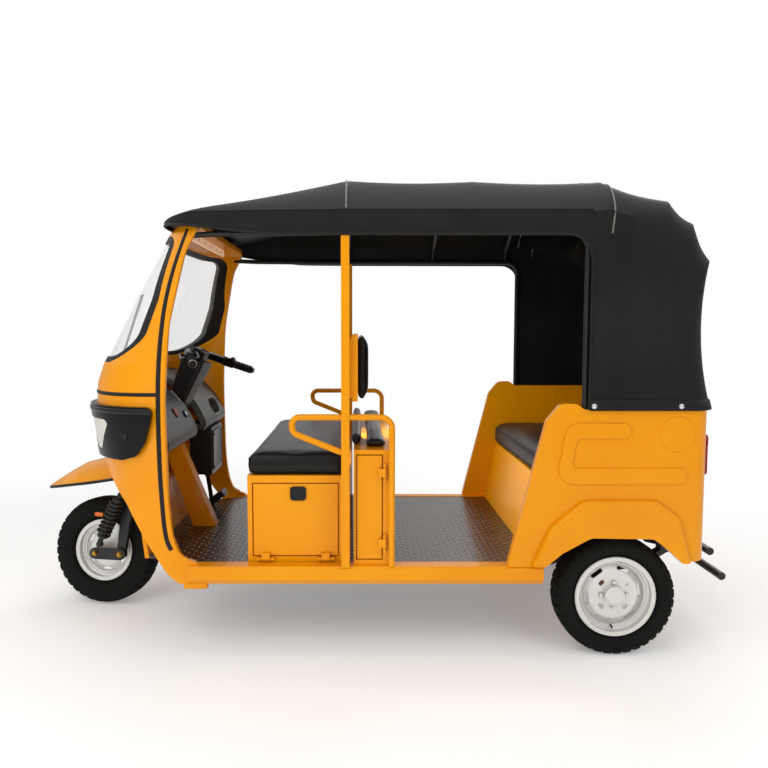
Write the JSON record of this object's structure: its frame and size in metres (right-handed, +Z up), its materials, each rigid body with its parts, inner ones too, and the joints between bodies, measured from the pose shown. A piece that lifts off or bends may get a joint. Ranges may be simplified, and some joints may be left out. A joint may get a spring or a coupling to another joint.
{
  "type": "auto rickshaw",
  "caption": "Electric passenger three-wheeler with a steered front wheel, open-sided cabin, driver and rear bench seats, and a black soft top.",
  "frame": {"origin": "on the ground under the middle of the overall box", "axes": "+X forward, +Y to the vehicle's left, +Z up"},
  "size_m": [2.9, 1.296, 1.854],
  "materials": {
    "body_paint": "gloss orange-yellow paint",
    "black_metal": "satin black paint on steel",
    "floor_plate": "dark brown-black chequered floor covering",
    "seat_vinyl": "black vinyl with a soft sheen",
    "canopy_vinyl": "black coated canvas",
    "screen_glass": "clear curved glass",
    "lamp_clear": "clear lens",
    "black_plastic": "moulded black plastic",
    "seal_rubber": "black rubber",
    "dash_plastic": "grained grey plastic",
    "lamp_red": "red lens",
    "plate_white": "blank white plate",
    "wheel_silver": "silver paint",
    "tyre": "black tyre rubber"
  },
  "bodies": {
    "body": {"arm_rails": "body_paint", "backrest_board": "body_paint", "backrest_pad": "seat_vinyl", "battery_block": "black_plastic", "bench_backrest": "seat_vinyl", "bench_base": "body_paint", "bench_cushion": "seat_vinyl", "brake_pedal": "black_metal", "canopy_frame": "black_metal", "canopy_rear": "canopy_vinyl", "canopy_roof": "canopy_vinyl", "chassis_rails": "black_metal", "control_box": "black_plastic", "cross_members": "black_metal", "dashboard": "dash_plastic", "drive_motor": "black_metal", "driver_backrest": "seat_vinyl", "driver_cushion": "seat_vinyl", "floor_pan": "floor_plate", "front_mudguard": "body_paint", "front_shell_lower": "body_paint", "front_shell_upper": "body_paint", "headlamp_lenses": "lamp_clear", "headlamp_pods": "black_plastic", "leaf_springs": "black_metal", "locker_box": "body_paint", "locker_pad": "seat_vinyl", "mid_pillars": "body_paint", "number_plate": "plate_white", "rear_axle": "black_metal", "rear_bumper": "black_metal", "seat_box": "body_paint", "sills": "body_paint", "steering_head": "body_paint", "tail_lamps": "lamp_red", "tub_back": "body_paint", "tub_side_left": "body_paint", "tub_side_right": "body_paint", "wheel_well": "body_paint", "windscreen_glass": "screen_glass", "windscreen_seal": "seal_rubber", "wiper": "black_plastic"},
    "steering": {"steering_fork": "black_metal", "front_suspension": "black_metal", "handlebar": "black_plastic"},
    "front_wheel": {"front_rim": "wheel_silver", "front_tyre": "tyre"},
    "rear_wheel_left": {"rear_rim_left": "wheel_silver", "rear_tyre_left": "tyre"},
    "rear_wheel_right": {"rear_rim_right": "wheel_silver", "rear_tyre_right": "tyre"},
    "battery_door_left": {"battery_door_left": "body_paint"},
    "battery_door_right": {"battery_door_right": "body_paint"},
    "locker_door_left": {"locker_door_left": "body_paint"},
    "locker_door_right": {"locker_door_right": "body_paint"}
  },
  "joints": [
    {"name": "steering_turn", "type": "hinge", "parent": "body", "child": "steering", "pos_m": [0.76, 0, 1.14], "axis": [-0.4226, 0, 0.9063], "range_deg": [-23, 47]},
    {"name": "front_wheel_spin", "type": "hinge", "parent": "steering", "child": "front_wheel", "pos_m": [1.19958, -0.00441, 0.2464], "axis": [0.1884, 0.9781, 0.0879], "continuous": true},
    {"name": "rear_wheel_left_spin", "type": "hinge", "parent": "body", "child": "rear_wheel_left", "pos_m": [-0.98, 0.535, 0.233], "axis": [0, 1, 0], "continuous": true},
    {"name": "rear_wheel_right_spin", "type": "hinge", "parent": "body", "child": "rear_wheel_right", "pos_m": [-0.98, -0.535, 0.233], "axis": [0, 1, 0], "continuous": true},
    {"name": "battery_door_left_drop", "type": "hinge", "parent": "body", "child": "battery_door_left", "pos_m": [0.267, 0.562, 0.378], "axis": [-1, 0, 0], "range_deg": [0, 90]},
    {"name": "battery_door_right_drop", "type": "hinge", "parent": "body", "child": "battery_door_right", "pos_m": [0.267, -0.562, 0.378], "axis": [1, 0, 0], "range_deg": [0, 90]},
    {"name": "locker_door_left_swing", "type": "hinge", "parent": "body", "child": "locker_door_left", "pos_m": [-0.078, 0.606, 0.589], "axis": [0, 0, 1], "range_deg": [0, 90]},
    {"name": "locker_door_right_swing", "type": "hinge", "parent": "body", "child": "locker_door_right", "pos_m": [-0.078, -0.606, 0.589], "axis": [0, 0, -1], "range_deg": [0, 90]}
  ]
}
